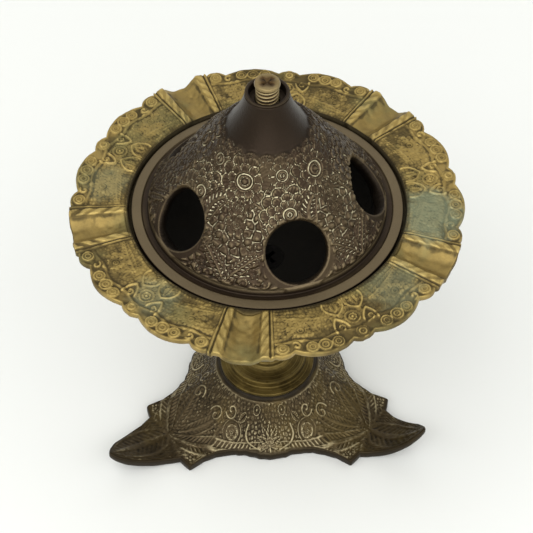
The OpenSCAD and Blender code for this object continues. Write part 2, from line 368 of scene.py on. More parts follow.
class Relief:
    """Raised ornament on a surface. place(a, s) gives each point's x and y from a motif's middle, in mm."""

    def __init__(self, place, like):
        self.place = place
        self.height = np.zeros_like(like)
        self.taken = np.zeros(like.shape, bool)

    def stamp(self, a, s, shape, reach, turn=0.0, flip=False, over=False, base=0.0):
        """Adds a motif, which stays within reach of its middle. over cuts away what it covers."""
        x, y = self.place(a, s)
        near = np.abs(x) < reach
        near &= np.abs(y) < reach
        x, y = x[near], y[near]
        c, n = heading(turn)
        x, y = x * c + y * n, y * c - x * n
        new = shape(x, -y if flip else y)
        covered = new > BARE / 2
        old = self.height[near]
        raised = new + base if over else np.maximum(new + base, old)
        self.height[near] = np.where(covered, raised, old)
        self.taken[near] |= covered

    def fill(self, x, y, where, cell=1.5, seed=1, lift=0.4):
        """Covers what is still bare with small petals, close together, some with a bead or a hollow."""
        dx, dy, gap, pick = scattered(x, y, cell, seed)
        h = lift * (0.35 + 0.65 * smooth(0.02, 0.4, gap / cell))
        off = np.hypot(dx, dy) / cell
        hollow = -0.3 * lift * smooth(0.3, 0.1, off) * (pick > 0.7)
        h += np.where(pick < 0.4, 0.35 * lift * dome(off / 0.2), hollow)
        bare = where & ~self.taken
        self.height[bare] = np.maximum(self.height, h)[bare]


def blurred(field, cells):
    """field averaged over a square of cells each way. Columns run round the axis, rows don't."""
    out = field
    for _ in range(2):
        out = sum(np.roll(out, k, 1) for k in range(-cells, cells + 1)) / (2 * cells + 1)
        padded = np.pad(out, ((cells, cells), (0, 0)), mode="edge")
        out = sum(padded[k : k + len(field)] for k in range(2 * cells + 1)) / (2 * cells + 1)
    return out


# ---------------------------------------------------------------- meshes

CREST_CELLS = 3


def rounded(points, radius=0.3, steps=3):
    """An outline with each inner corner eased over about radius."""
    points = np.asarray(points, float)
    out = [points[0]]
    for before, corner, after in zip(points, points[1:], points[2:]):
        to_before, to_after = before - corner, after - corner
        reach_b = min(radius, 0.45 * np.hypot(*to_before)) / np.hypot(*to_before)
        reach_a = min(radius, 0.45 * np.hypot(*to_after)) / np.hypot(*to_after)
        ease = [corner + to_before * reach_b, corner, corner + to_after * reach_a]
        t = np.linspace(0, 1, steps + 1)[:, None]
        out.extend((1 - t) ** 2 * ease[0] + 2 * t * (1 - t) * ease[1] + t * t * ease[2])
    out.append(points[-1])
    return np.array(out)


def turned(profile, columns):
    """A profile of (r, z) turned round the axis: an array of rows, columns and x, y, z."""
    a = np.linspace(0, 2 * math.pi, columns, endpoint=False)
    r, z = np.asarray(profile, float).T[:, :, None]
    return np.stack([r * np.cos(a), r * np.sin(a), z + 0 * a], -1)


def ring_mesh(name, rows, marks=None):
    """A closed smooth mesh through rows of points, each row a ring. marks are kept for the material."""
    count, columns = rows.shape[:2]
    index = np.arange(count * columns).reshape(count, columns)
    low, high = index, np.roll(index, -1, 0)
    quads = np.stack([low, np.roll(low, -1, 1), np.roll(high, -1, 1), high], -1).reshape(-1, 4)
    points = rows.reshape(-1, 3)
    p0, p1, p2, p3 = points[quads].transpose(1, 0, 2)
    if np.einsum("ij,ij->", p0 - p2, np.cross(p1, p3)) < 0:
        quads = quads[:, ::-1]
    mesh = bpy.data.meshes.new(name)
    mesh.vertices.add(count * columns)
    mesh.vertices.foreach_set("co", (points * MM).astype(np.float32).ravel())
    mesh.loops.add(quads.size)
    mesh.loops.foreach_set("vertex_index", quads.astype(np.int32).ravel())
    mesh.polygons.add(len(quads))
    mesh.polygons.foreach_set("loop_start", np.arange(0, quads.size, 4, dtype=np.int32))
    mesh.polygons.foreach_set("use_smooth", np.ones(len(quads), bool))
    for mark, values in (marks or {}).items():
        layer = mesh.attributes.new(mark, "FLOAT", "POINT")
        layer.data.foreach_set("value", np.asarray(values, np.float32).ravel())
    mesh.update()
    piece = bpy.data.objects.new(name, mesh)
    bpy.context.scene.collection.objects.link(piece)
    return piece


def relief_marks(height):
    """What the metal shaders read at each point: its height, how far it is above its neighbours, and three
    more that start at 0."""
    marks = {"relief": height, "crest": height - blurred(height, CREST_CELLS)}
    for mark in ("plain", "tarnish", "sooty"):
        marks[mark] = np.zeros_like(height)
    return marks


def cut(piece, *tools):
    """Takes the tools' shapes out of piece, and removes the tools."""
    bpy.context.view_layer.update()
    bpy.context.view_layer.objects.active = piece
    for tool in tools:
        change = piece.modifiers.new("cut", "BOOLEAN")
        change.operation = "DIFFERENCE"
        change.solver = "MANIFOLD"
        change.object = tool
        bpy.ops.object.modifier_apply(modifier=change.name)
        bpy.data.objects.remove(tool)


def cylinder(name, radius, low, high, columns=96):
    """A plain closed cylinder on the axis, for cutting with, whose walls come out sooty."""
    rows = turned([(1e-3, low), (radius, low), (radius, high), (1e-3, high)], columns)
    return ring_mesh(name, rows, marks={"sooty": np.full(rows.shape[:2], 0.85)})


def near_corners(profile, corners, reach=0.4):
    """1 for each row of a profile that lies within reach of one of the corners."""
    profile = np.asarray(profile)
    gaps = [np.hypot(*(profile - corner).T) for corner in corners]
    return (np.min(gaps, axis=0) < reach).astype(float)


# ---------------------------------------------------------------- lid

LID_COLUMNS = 720


def lid_profile():
    """The lid's outline from its rim up to the relief, the relief's rows, and the rest back to the rim."""
    foot_z = CONE_FOOT[1]
    rim = rounded([
        (LID_BORE_R, foot_z - 1), (LID_BORE_R, LEDGE_Z), (LID_R, LEDGE_Z),
        (LID_R, LID_TOP_Z - 0.1), (LID_R - 0.3, LID_TOP_Z),
        GROOVE_OUT, (GROOVE_OUT[0] - 0.3, LID_TOP_Z - 0.2), GROOVE_IN, CONE_FOOT + RELIEF_FROM * CONE_ALONG,
    ], 0.25)
    distance = np.linspace(RELIEF_FROM, CONE_L, RELIEF_ROWS + 2)[1:-1]
    cone = CONE_FOOT + distance[:, None] * CONE_ALONG
    t = np.linspace(0, 1, NECK_ROWS)
    neck_r = LID_RING_R + (CONE_TOP[0] - LID_RING_R) * (1 - t) ** 1.6
    neck = np.stack([neck_r, CONE_TOP[1] + (RING_Z - CONE_TOP[1]) * t], 1)
    socket = rounded([
        (neck_r[-2], neck[-2][1]), (LID_RING_R, RING_Z - 0.6), (LID_RING_R + 0.05, RING_Z),
        (LID_RING_R - 1, RING_Z), (LID_RING_R - 1, RING_Z - 2.5), (SCREW_HOLE_R, RING_Z - 2.5),
        (SCREW_HOLE_R, CONE_TOP[1] + 1), (8.0, CONE_TOP[1] + 1), (LID_BORE_R, foot_z),
    ], 0.25)[1:]
    return np.vstack([rim, cone, neck[:-1], socket]), slice(len(rim), len(rim) + len(cone))


def lid_panel(relief, mid):
    """One panel: leaves, berries, a flower between striped horns, and a medallion flower."""
    for side in (-1, 1):
        outer = bent([(0.2 * side, 0.2), (3.6 * side, 5.0), (9.0 * side, 9.4)])
        inner = bent([(0.6 * side, 3.4), (3.0 * side, 6.2), (6.8 * side, 10.0)])
        horn = bent([(9.2 * side, 13.6), (7.6 * side, 19.8), (2.6 * side, 23.4)], 12)
        relief.stamp(mid, 0, frond(outer, 1.9, 1.25, 1.0), 40, over=True)
        relief.stamp(mid, 0, frond(inner, 1.2, 1.1, 0.9), 40, over=True)
        relief.stamp(mid, 0, frond(horn, 2.5, 1.35, 1.1), 40, over=True)
        relief.stamp(mid + 13.5 * side, 3.1, flower(2.0, 7, rows=1, lift=0.6, eye=0.35), 4)
        relief.stamp(mid + 9.2 * side, 12.3, bead(1.3, 0.75), 3)
        relief.stamp(mid + 16.0 * side, 11.2, bead(1.0, 0.65), 3)
        blade = leaf(5.6, 1.9, bend=0.15 * side, lift=0.7)
        relief.stamp(mid + 17.5 * side, 26.4, blade, 7, turn=90 - 18 * side)
        for step in range(4):
            relief.stamp(mid + (4 + 5.2 * step) * side, 0.9, bead(0.8, 0.6), 2)
    relief.stamp(mid - 0.5, 28.4, flower(7.2, 9, rows=2, lift=1.0, eye=0.38), 9, over=True)
    relief.stamp(mid - 0.5, 28.4, bead(1.2, 0.9), 4, over=True)
    relief.stamp(mid, 21.0, flower(3.3, 8, rows=2, lift=0.8, eye=0.4), 5, over=True)
    relief.stamp(mid, 16.3, flower(3.0, 6, rows=1, lift=0.8, eye=0.45), 4, over=True)
    relief.stamp(mid, 10.7, bead(1.3, 0.75), 3, over=True)
    relief.stamp(mid, 7.0, bead(1.1, 0.7), 2)


def lid_ornament(relief):
    """Five panels, large flowers between them above the smoke holes, and small flowers round the top."""
    for k in range(PANELS):
        lid_panel(relief, PANEL_ANGLE + 72 * k)
        between = PANEL_ANGLE + 72 * k + 36
        relief.stamp(between, 30.4, flower(5.6, 8, rows=2, lift=0.9, eye=0.36), 7)
        relief.stamp(between + 1, 19.6, flower(8.2, 10, rows=3, lift=1.1, eye=0.28), 9, over=True)
    for k in range(18):
        relief.stamp(20 * k, CONE_L - 1.9, flower(2.2, 7, rows=1, lift=0.65), 3)


def hole_gap(x, y, z):
    """Each point's distance from the nearest smoke hole's axis, and how far down the slope it is."""
    gap, below = np.full_like(x, FAR), np.zeros_like(x)
    middle = CONE_FOOT + HOLE_RISE * CONE_ALONG
    for angle in HOLE_ANGLES:
        c, s = heading(angle)
        out, across, rise = x * c + y * s - middle[0], y * c - x * s, z - middle[1]
        up = out * CONE_ALONG[0] + rise * CONE_ALONG[1]
        facing = out * CONE_OUT[0] + rise * CONE_OUT[1] > -12
        d = np.where(facing, np.hypot(across, up), FAR)
        below = np.where(d < gap, -up, below)
        gap = np.minimum(gap, d)
    return gap, below


def hole_tools():
    """A cylinder through the lid's wall for each smoke hole."""
    middle = CONE_FOOT + HOLE_RISE * CONE_ALONG
    for k, angle in enumerate(HOLE_ANGLES):
        tool = cylinder(f"hole_tool_{k}", HOLE_R, -9, 9, 128)
        turn = math.radians(angle)
        tool.rotation_euler = (0, math.atan2(CONE_OUT[0], CONE_OUT[1]), turn)
        tool.location = Vector((middle[0] * math.cos(turn), middle[0] * math.sin(turn), middle[1])) * MM
        yield tool


def make_lid():
    profile, zone = lid_profile()
    rows = turned(profile, LID_COLUMNS)
    x, y, z = np.moveaxis(rows, -1, 0)
    a, r = np.degrees(np.arctan2(y, x)), np.hypot(x, y)
    s = np.linspace(RELIEF_FROM, CONE_L, RELIEF_ROWS + 2)[1:-1, None] + 0 * a[zone]
    arc = np.radians(a[zone]) * LID_MEAN_R
    relief = Relief(lambda a0, s0: (np.radians(wrap(a[zone] - a0)) * r[zone], s - s0), s)
    lid_ornament(relief)
    relief.fill(arc, s, s > RELIEF_FROM, cell=2.6, seed=3, lift=0.7)
    ground = 0.12 * noise(arc * 1.2, s, 0.55, 5) + 0.25 * (noise(arc, s, 6.0, 6) - 0.5)
    edge = CONE_L - 1.3 + 0.9 * np.abs(np.sin(np.radians(9 * a[zone])))
    height = np.zeros_like(r)
    height[zone] = (relief.height + ground) * smooth(-0.6, 0, s) * smooth(edge + 0.5, edge - 0.3, s)
    gap, below = hole_gap(x, y, z)
    outside = np.zeros_like(r)
    outside[: zone.stop + 4] = 1
    width = 0.5 + 1.5 * smooth(-1, 6, below)
    border = smooth(HOLE_R + width + 0.15, HOLE_R + width - 0.1, gap) * outside
    height = height * (1 - border) + 0.3 * border
    height -= 0.35 * outside * smooth(HOLE_R + 0.5, HOLE_R, gap) ** 2
    marks = relief_marks(height)
    # Painted highlight: crest is raised along the rim's outer top edge, the groove's edge, the relief's foot,
    # the neck's top and over the rim ring's top, so these read lighter, as where light catches them. There is
    # also a thin lighter ring round each hole.
    bright = [(LID_R - 0.6, LID_TOP_Z), GROOVE_OUT, profile[zone.start], (LID_RING_R, RING_Z)]
    worn_and_highlight = near_corners(profile, bright)
    crest = marks["crest"] * (1 - border)
    crest[: zone.start] = 0
    crest[zone.stop :] = 0
    ring_top = (profile[:, 0] > GROOVE_OUT[0] - 0.4) & (profile[:, 1] > LID_TOP_Z - 0.15)
    crest += (0.3 * worn_and_highlight + 0.12 * ring_top)[:, None] + 0.2 * outside * dome((gap - HOLE_R - 0.35) / 0.3)
    marks["crest"] = crest
    plain = border.copy()
    plain[: zone.start] = 1
    plain[zone.stop :] = 1
    tarnish = np.zeros_like(r)
    tarnish[zone.stop : zone.stop + NECK_ROWS] = 1
    # Painted shade: the rim's side face, its lower edge and the groove's corners are darkened, as shade in
    # the gap under the rim and in the groove.
    groove_z = LID_TOP_Z - 0.2
    dark = [(LID_R, LID_TOP_Z - 0.6), (LID_R, LEDGE_Z), (34.6, groove_z), (34.1, groove_z)]
    tarnish[: zone.start] = near_corners(profile[: zone.start], dark, 0.5)[:, None]
    tarnish[zone] = 0.55 * smooth(CONE_L - 4, CONE_L, s)
    marks.update(plain=plain, tarnish=tarnish)
    inside = zone.stop + NECK_ROWS + SOCKET_ROWS
    marks["sooty"][inside:] = 1
    marks["tarnish"][zone.stop + NECK_ROWS : inside] = 0.9
    radians = np.radians(a)
    out = np.stack([CONE_OUT[0] * np.cos(radians), CONE_OUT[0] * np.sin(radians), CONE_OUT[1] + 0 * a], -1)
    piece = ring_mesh("pierced_lid", rows + height[..., None] * out, marks=marks)
    cut(piece, *hole_tools())
    return piece


# ---------------------------------------------------------------- bowl

BOWL_COLUMNS = 1080
FLANGE_ROWS = 54


def rest_offsets(a):
    """How far each angle is from the nearest rest, and its offset from the nearest section's middle."""
    turned_by = (a - REST_ANGLE) * RESTS
    return np.abs(wrap(turned_by) / RESTS), wrap(turned_by - 180) / RESTS


def scalloped_edge(a):
    """The flange's outer radius at each angle: scallops between the square ends of the rests."""
    edge = np.full_like(a, SCALLOP_ROOT_R)
    rest, section = rest_offsets(a)
    for middle, tip, radius in SCALLOPS:
        off = np.radians(section - middle)
        centre = tip - radius
        reach = radius**2 - (centre * np.sin(off)) ** 2
        edge = np.where(reach > 0, np.maximum(edge, centre * np.cos(off) + np.sqrt(np.abs(reach))), edge)
    end = BOWL_R - 0.5 * smooth(4.5, 1.5, rest)
    return np.where(rest < REST_HALF, np.maximum(edge, end), edge)


def bowl_ornament(relief):
    """Five sections between the rests: curls, a bull's-eye between hearts and arches, and daisies."""
    for k in range(RESTS):
        mid = REST_ANGLE + SECTION_HALF + 2 * SECTION_HALF * k
        relief.stamp(mid, 47.4, flower(4.2, 12, rows=1, lift=0.45, eye=0.5), 6)
        relief.stamp(mid, 47.4, rings(2.4, 1, 0.55), 3, over=True)
        relief.stamp(mid, 47.4, rings(1.2, 1, 0.85), 2, over=True)
        relief.stamp(mid, 52.9, rings(1.9, 2, 0.6), 3)
        relief.stamp(mid, 43.2, leaf(3.4, 1.3, veins=3, lift=0.45), 5, turn=-90)
        for side in (-1, 1):
            flip = side < 0
            for offset, size in ((8.0, 1.9), (11.9, 2.1), (15.7, 1.9), (24.3, 1.9)):
                relief.stamp(mid + offset * side, 53.3, rings(size, 2.5, 0.6), 3)
            relief.stamp(mid + 20.2 * side, 52.3, scroll(1.3, 0.3, 1.0, 0.5), 2, turn=120 * side, flip=flip)
            relief.stamp(mid + 5.9 * side, 46.4, heart(2.0, 4.4, 0.65), 6, turn=12 * side, over=True)
            relief.stamp(mid + 4.2 * side, 40.5, arch(2.6, 4.9, 0.6), 7)
            relief.stamp(mid + 18.0 * side, 47.3, flower(4.1, 11, rows=2, lift=0.5, eye=0.34), 5)
            lower = [(7.2 * side, 44.6), (12.5 * side, 43.6), (20.0 * side, 42.2)]
            upper = [(9.6 * side, 49.6), (10.6 * side, 47.2), (9.4 * side, 45.2)]
            relief.stamp(mid, 0, frond(bent(lower), 1.5, 1.0, 0.5), 90)
            relief.stamp(mid, 0, frond(bent(upper), 1.3, 0.9, 0.45), 90)


def flange_top(a, r, edge):
    """The flange's height at angles a and radii r, that without the rests, and where it is plain."""
    rest, section = rest_offsets(a)
    relief = Relief(lambda a0, s0: (np.radians(wrap(a - a0)) * r, r - s0), r)
    bowl_ornament(relief)
    arc = np.radians(a) * FLANGE_MEAN_R
    between = smooth(REST_HALF + 0.2, REST_HALF + 0.6, rest)
    relief.fill(arc, r, (between > 0) & (r < 50.8), cell=1.15, seed=11, lift=0.26)
    h = relief.height
    contour = 50.9 + 0.45 * np.cos(np.radians(section) * 2 * 180 / 13)
    h = h + 0.12 * smooth(contour - 0.2, contour + 0.2, r)
    h = np.maximum(h, 0.34 * dome((r - contour) / 0.5))
    h = h - 0.25 * dome((r - contour + 0.75) / 0.4)
    h = np.maximum(h, 0.35 * dome((edge - 0.35 - r) / 0.4))
    h = h * between
    slant = 0.5 + 0.5 * np.cos(2 * math.pi * (r + (rest - 5) * 1.3 + 1.6 * noise(arc, r, 3.1, 22)) / 3.9)
    ridge = smooth(4.8, 5.7, rest) * smooth(8.2, 7.6, rest)
    h += ridge * (0.42 + 0.22 * smooth(0.15, 0.6, slant))
    h += 0.45 * dome((rest - 8.75) / 0.36) - 0.15 * dome((rest - 8.2) / 0.3)
    h += 0.07 * noise(np.radians(a) * r, r, 0.5, 21) * smooth(3.5, 5.5, rest)
    h += 0.35 * (noise(arc, r, 5.0, 23) - 0.5) + 0.3 * (noise(arc, r, 1.4, 24) - 0.5)
    swell = 0.3 * np.sin(np.radians(a * 3 + 40)) + 0.2 * np.sin(np.radians(a * 7))
    h += swell * smooth(RECESS_R, BOWL_R, r)
    depth = REST_DEPTH * (0.45 + 0.55 * smooth(RECESS_R, RECESS_R + 6, r))
    return h - depth * (1 - smooth(1.4, 6.2, rest)), h, smooth(5.4, 4.4, rest)


def bowl_below():
    """The profile of the bowl's underside, from the flange in to the bolt hole."""
    outer_r, floor = WELL_R + BOWL_WALL, WELL_FLOOR_Z - BOWL_WALL
    t = np.radians(np.linspace(0, 90, 14))[1:-1]
    recess_r, step_z = RECESS_R + BOWL_WALL, LEDGE_Z - BOWL_WALL
    belly = np.stack([WELL_FLOOR_R + (outer_r - WELL_FLOOR_R) * np.cos(t),
                      step_z - (step_z - floor) * np.sin(t)], 1)
    shoulder = rounded([(recess_r, RIM_Z - FLANGE_T - 2.0), (recess_r, step_z), (outer_r, step_z - 0.1)], 0.6)
    boss_z = BOWL_LOW[2]
    boss = rounded([(WELL_FLOOR_R, floor), (BOSS_R, floor), (BOSS_R, boss_z), (BOLT_HOLE_R, boss_z)], 0.4)
    return np.vstack([shoulder, belly, boss])


def bowl_inside():
    """The profile of the well, from the bolt's countersink out to the recess's edge, and its ledge's row."""
    floor = rounded([(BOLT_HOLE_R, BOWL_LOW[2] + 3), (5.0, WELL_FLOOR_Z - 0.1), (5.15, WELL_FLOOR_Z),
                     (WELL_FLOOR_R, WELL_FLOOR_Z)], 0.2)
    t = np.radians(np.linspace(90, 0, 16))[:-1]
    dish = np.stack([WELL_FLOOR_R + (WELL_R - WELL_FLOOR_R) * np.cos(t),
                     LEDGE_Z - (LEDGE_Z - WELL_FLOOR_Z) * np.sin(t)], 1)
    ledge = [(WELL_R, LEDGE_Z - 0.3), (WELL_R, LEDGE_Z), (RECESS_R, LEDGE_Z), (RECESS_R, RIM_Z - 0.6)]
    step = rounded(ledge, 0.3)
    return np.vstack([floor[:-1], dish, step]), len(floor) - 1 + len(dish)


def ring(r, a, z):
    """A row of points at radii r and angles a, in degrees."""
    return np.stack([r * np.cos(np.radians(a)), r * np.sin(np.radians(a)), z + 0 * a], -1)


def make_bowl():
    a = np.linspace(0, 360, BOWL_COLUMNS, endpoint=False)[None, :]
    edge = scalloped_edge(a) - 0.1
    share = np.linspace(0, 1, FLANGE_ROWS)[:, None]
    start = RECESS_R + 0.15 + 0.35 * noise(np.radians(a) * EDGE_MEAN_R, 0 * a, 3.0, 31)
    r = start + (edge - 0.3 - start) * share
    h, height, plain = flange_top(a + 0 * r, r, edge + 0 * r)
    h -= 0.35 * smooth(0.8, 0, r - start) ** 2
    top = ring(r, a + 0 * r, RIM_Z - 0.85 + h)
    rim = [ring(edge - inset, a, RIM_Z - 0.7 - drop + h[-1:])
           for inset, drop in ((0.08, 0.15), (0.0, 0.5), (0.0, 1.6), (0.25, 2.0))]
    sag = np.minimum(h[-1:], 0)
    root = RECESS_R + BOWL_WALL
    under = [ring(root + (edge - root) * out, a, RIM_Z - 0.7 - drop + sag)
             for out, drop in ((0.93, 2.2), (0.6, 2.25), (0.2, 2.3))]
    inside, ledge = bowl_inside()
    below = turned(bowl_below(), BOWL_COLUMNS)
    rows = np.concatenate([turned(inside, BOWL_COLUMNS), top, *rim, *under, below])
    zone = slice(len(inside), len(inside) + FLANGE_ROWS)
    raised = np.zeros(rows.shape[:2])
    raised[zone] = height
    raised[zone.stop :] = raised[zone.stop - 1]
    marks = relief_marks(raised)
    marks["crest"][: zone.start] = 0
    marks["crest"][zone.stop + 1 :] = 0
    # A lighter line along the flange's outer edge, partly wear and partly painted highlight.
    marks["crest"][zone.stop - 1 : zone.stop + 2] += 0.12
    marks["plain"][zone] = plain
    # Painted shade: the recess wall from the ledge up to the flange is darkened, as the shade in the gap
    # round the lid.
    marks["tarnish"][ledge : zone.start] = 1
    marks["tarnish"][zone.stop + len(rim) - 1 :] = 0.6
    # Painted shade: the flange darkens over its last mm towards the recess, as the shade along its inner
    # edge.
    marks["tarnish"][zone] = 0.7 * smooth(1.0, 0, r - start)
    marks["sooty"][:ledge] = 1
    return ring_mesh("scalloped_bowl", rows, marks=marks)


# ---------------------------------------------------------------- base

BASE_COLUMNS = 780
BASE_ROWS = 112


def foot_offsets(a):
    """Each angle's offset from the nearest foot's axis, and that foot's number."""
    turned_by = (a - FOOT_ANGLE + 60) % 360
    return turned_by % 120 - 60, (turned_by // 120).astype(int) % FEET


def foot_outline(run):
    """Angles from a foot's axis and radii of the base's edge: a leaf, its shoulders and the wavy skirt."""
    share, half = np.array(BLADE).T
    u = CURL_FROM + run * share
    sweep = math.tan(math.radians(LEAF_SWEEP)) * (CURL_FROM + run) * share**2
    skirt = np.array(SKIRT)
    left = np.stack([np.degrees(np.arctan2(sweep + half, u)), np.hypot(u, sweep + half)], 1)[::-1]
    right = np.stack([np.degrees(np.arctan2(sweep - half, u)), np.hypot(u, sweep - half)], 1)
    return np.vstack([(skirt * (-1, 1))[::-1], right, left, skirt])


def base_edge(a):
    """Radius of the base's outer edge at each angle."""
    off, foot = foot_offsets(a)
    edge = np.zeros_like(off)
    for k in range(FEET):
        at, radius = foot_outline(LEAF_RUN[k]).T
        edge = np.where(foot == k, np.interp(off, at, radius), edge)
    return edge + 0.4 * (noise(np.radians(a) * EDGE_MEAN_R, 0 * a, 2.5, 47) - 0.5)


def base_curl(a, r):
    """How far the leaves curl up at each point."""
    off, foot = foot_offsets(a)
    share = (r * np.cos(np.radians(off)) - CURL_FROM) / LEAF_RUN[foot]
    return TIP_LIFT[foot] * np.clip(share, 0, 1.02) ** 2


def base_top(a, r, skirt):
    """Height of the base's top face, before its relief."""
    off, _ = foot_offsets(a)
    t = np.clip((r - BASE_TOP_R) / (skirt - BASE_TOP_R), 0, 1)
    power = 1.2 + 0.8 * smooth(50, 12, np.abs(off))
    return CAST_T + (BASE_H - 0.3 - CAST_T) * (1 - t) ** power + base_curl(a, r)


def base_ornament(relief):
    """Three-lobed leaves on the feet, with side lobes along the skirt, and panels between."""
    for k in range(FEET):
        foot = FOOT_ANGLE + 120 * k
        tip = CURL_FROM + LEAF_RUN[k] - 1.5
        relief.stamp(foot, 0, frond(bent([(36.0, 0.0), (46.0, -0.4), (tip, 0.9)], 12), 5.6, 1.7, 0.5), 60)
        for side in (-1, 1):
            point = bent([(35.6, 1.6 * side), (37.0, 6.0 * side), (38.0, 12.0 * side)])
            lobe = bent([(36.2, 0.8 * side), (27.6, 12.2 * side), (12.8, 20.9 * side)], 16)
            relief.stamp(foot, 0, frond(point, 2.6, 1.3, 0.45), 60)
            relief.stamp(foot, 0, frond(lobe, 3.4, 1.35, 0.65), 60)
            rising = bent([(33.0, 1.4 * side), (26.0, 4.8 * side), (19.5, 6.5 * side)])
            relief.stamp(foot, 0, frond(rising, 2.4, 1.2, 0.55), 60)
            large, small = scroll(2.4, 0.34, 1.4, 0.6), scroll(1.9, 0.32, 1.3, 0.6)
            relief.stamp(foot + 13 * side, 22.4, large, 4, turn=120 * side, flip=side < 0)
            relief.stamp(foot + 24 * side, 19.2, small, 3, turn=60 * side, flip=side > 0)
        base_panel(relief, foot + 60)
        relief.stamp(foot, 18.6, flower(2.4, 8, lift=0.55, eye=0.4), 4)


def base_panel(relief, mid):
    """A spray of leaves at the skirt's middle, with a roundel, a curl and a leaf on each side."""
    for turn in (0, 30, -30, 62, -62, 96, -96):
        relief.stamp(mid, 24.4, leaf(5.2 - abs(turn) / 70, 0.85, lift=0.6), 7, turn=180 + turn)
    relief.stamp(mid, 24.6, stroke([(0, 0), (2.4, 0.3)], 0.35, 0.6), 4)
    for side in (-1, 1):
        relief.stamp(mid + 30 * side, 23.3, rings(3.1, 2, 0.6), 5)
        relief.stamp(mid + 30 * side, 23.3, flower(1.7, 7, rows=1, lift=0.65, eye=0.4), 3, over=True)
        curve = bent([(25.4, 3.0 * side), (22.6, 7.0 * side), (19.4, 6.4 * side)])
        relief.stamp(mid, 0, stroke(curve, 0.4, 0.65), 60)
        relief.stamp(mid + 12.5 * side, 17.4, rings(1.2, 1, 0.6), 3)
        relief.stamp(mid + 22 * side, 18.3, leaf(3.0, 1.0, lift=0.55), 5, turn=40 * side)


def base_relief(a, r, edge):
    """Height of the ornament on the base at each point."""
    x, y = r * np.cos(np.radians(a)), r * np.sin(np.radians(a))

    def place(angle, s):
        c, n = heading(angle)
        return x * c + y * n - s, y * c - x * n

    relief = Relief(place, r)
    base_ornament(relief)
    relief.fill(x, y, r > 0, cell=1.05, seed=41, lift=0.36)
    h = relief.height + 0.12 * noise(x, y, 0.6, 43) + 0.3 * (noise(x, y, 5.0, 44) - 0.5)
    h *= smooth(BASE_TOP_R + 0.2, BASE_TOP_R + 0.8, r)
    h = np.maximum(h, 0.4 * dome((BASE_TOP_R + 0.7 - r) / 0.4))
    rim = smooth(edge - 1.3, edge - 0.7, r)
    return h * (1 - rim) + 0.3 * rim


def make_base():
    a = np.linspace(0, 360, BASE_COLUMNS, endpoint=False)[None, :]
    edge = base_edge(a)
    skirt = np.minimum(edge, CURL_FROM + 0.4)
    share = np.linspace(0, 1, BASE_ROWS)[:, None] ** 0.92
    r = BASE_TOP_R + 0.1 + (edge - 0.35 - BASE_TOP_R - 0.1) * share
    aa = a + 0 * r
    z = base_top(aa, r, skirt)
    h = base_relief(aa, r, edge)
    slope = np.gradient(z, axis=0) / np.gradient(r, axis=0)
    tilt = np.sqrt(1 + slope**2)
    top = ring(r - h * slope / tilt, aa, z + h / tilt)
    rim = [ring(edge - inset, a, low + base_curl(a, edge - inset))
           for inset, low in ((0.1, CAST_T - 0.15), (0, CAST_T - 0.5), (0, 0.5), (0.15, 0.12), (0.4, 0.0))]
    ledge = edge - skirt
    under = [ring(skirt - 2.0 + (ledge + 1.6) * out, a, base_curl(a, skirt - 2.0 + (ledge + 1.6) * out))
             for out in (0.75, 0.4, 0.0)]
    inner = BASE_TOP_R - 1
    hollow = []
    for out in np.linspace(1, 0, 9)[:-1]:
        rr = inner + (skirt - 3.2 - inner) * out
        hollow.append(ring(rr, a, np.maximum(base_top(a, rr + 1.4, skirt) - 3.0, 0.4)))
    plate = rounded([(inner, BASE_H - 3.4), (13.5, BASE_H - 3), (BOLT_HOLE_R, BASE_H - 3),
                     (BOLT_HOLE_R, BASE_H), (BASE_TOP_R - 0.3, BASE_H)], 0.3)
    rows = np.concatenate([top, *rim, *under, *hollow, turned(plate, BASE_COLUMNS)])
    height = np.full(rows.shape[:2], 0.3)
    height[:BASE_ROWS] = h
    marks = relief_marks(height)
    marks["crest"][:BASE_ROWS] += 0.1 * smooth(edge - 9, edge - 3, r) * (r < CURL_FROM)
    marks["crest"][BASE_ROWS:] = 0
    marks["tarnish"][BASE_ROWS:] = 0.9
    marks["tarnish"][:BASE_ROWS] = 0.7 * smooth(edge - 1.2, edge - 0.5, r)
    marks["sooty"][BASE_ROWS + len(rim) :] = 0.3
    return ring_mesh("tripod_foot", rows, marks=marks)


# ---------------------------------------------------------------- pedestal and screw


def make_stem():
    """The pedestal: a disc, a fillet, a bead, a round knop and a seat for the bowl."""
    z0, z1 = STEM_LOW[2], STEM_HIGH[2]
    platform_z = z0 + 3.2
    bead_z = platform_z + 2.6
    knop_z = (bead_z + z1) / 2
    quarter, half = np.radians(np.linspace(0, 90, 10)), np.radians(np.linspace(-90, 90, 18))
    fillet = [(PLATFORM_R - 5.2 * math.sin(t), bead_z - 2 * math.cos(t)) for t in quarter]
    knop = [(STEM_R + 4 * math.cos(t), knop_z + 7.6 * math.sin(t)) for t in half]
    disc = [(BOLT_HOLE_R, z1 - 1), (BOLT_HOLE_R, z0), (DISC_R, z0), (DISC_R, z0 + 1.2)]
    profile = rounded(
        disc + [(PLATFORM_R, z0 + 1.6), (PLATFORM_R, platform_z)]
        + fillet + [(7.05, bead_z + 0.5), (7.0, bead_z + 1), (6.2, bead_z + 1.5), (STEM_R, bead_z + 2)] + knop
        + [(STEM_R, z1 - 5), (SEAT_R, z1 - 2), (SEAT_R, z1), (BOLT_HOLE_R, z1)], 0.3)
    return ring_mesh("turned_pedestal", turned(profile, 240))


def slot_tool(name, span, width, low, high, turn):
    """A long four-sided block across the axis, for cutting one arm of a cross."""
    corners = np.array([(span, width), (-span, width), (-span, -width), (span, -width)]) / 2
    c, s = heading(turn)
    plan = corners @ np.array([(c, s), (-s, c)])
    levels = ((1e-3, low), (1, low), (1, high), (1e-3, high))
    rows = [np.column_stack([plan * scale, np.full(4, z)]) for scale, z in levels]
    # Painted shade: the cross recess's cut walls come out near black, as the shade inside the recess.
    return ring_mesh(name, np.array(rows), marks={"sooty": np.full((len(levels), 4), 0.8)})


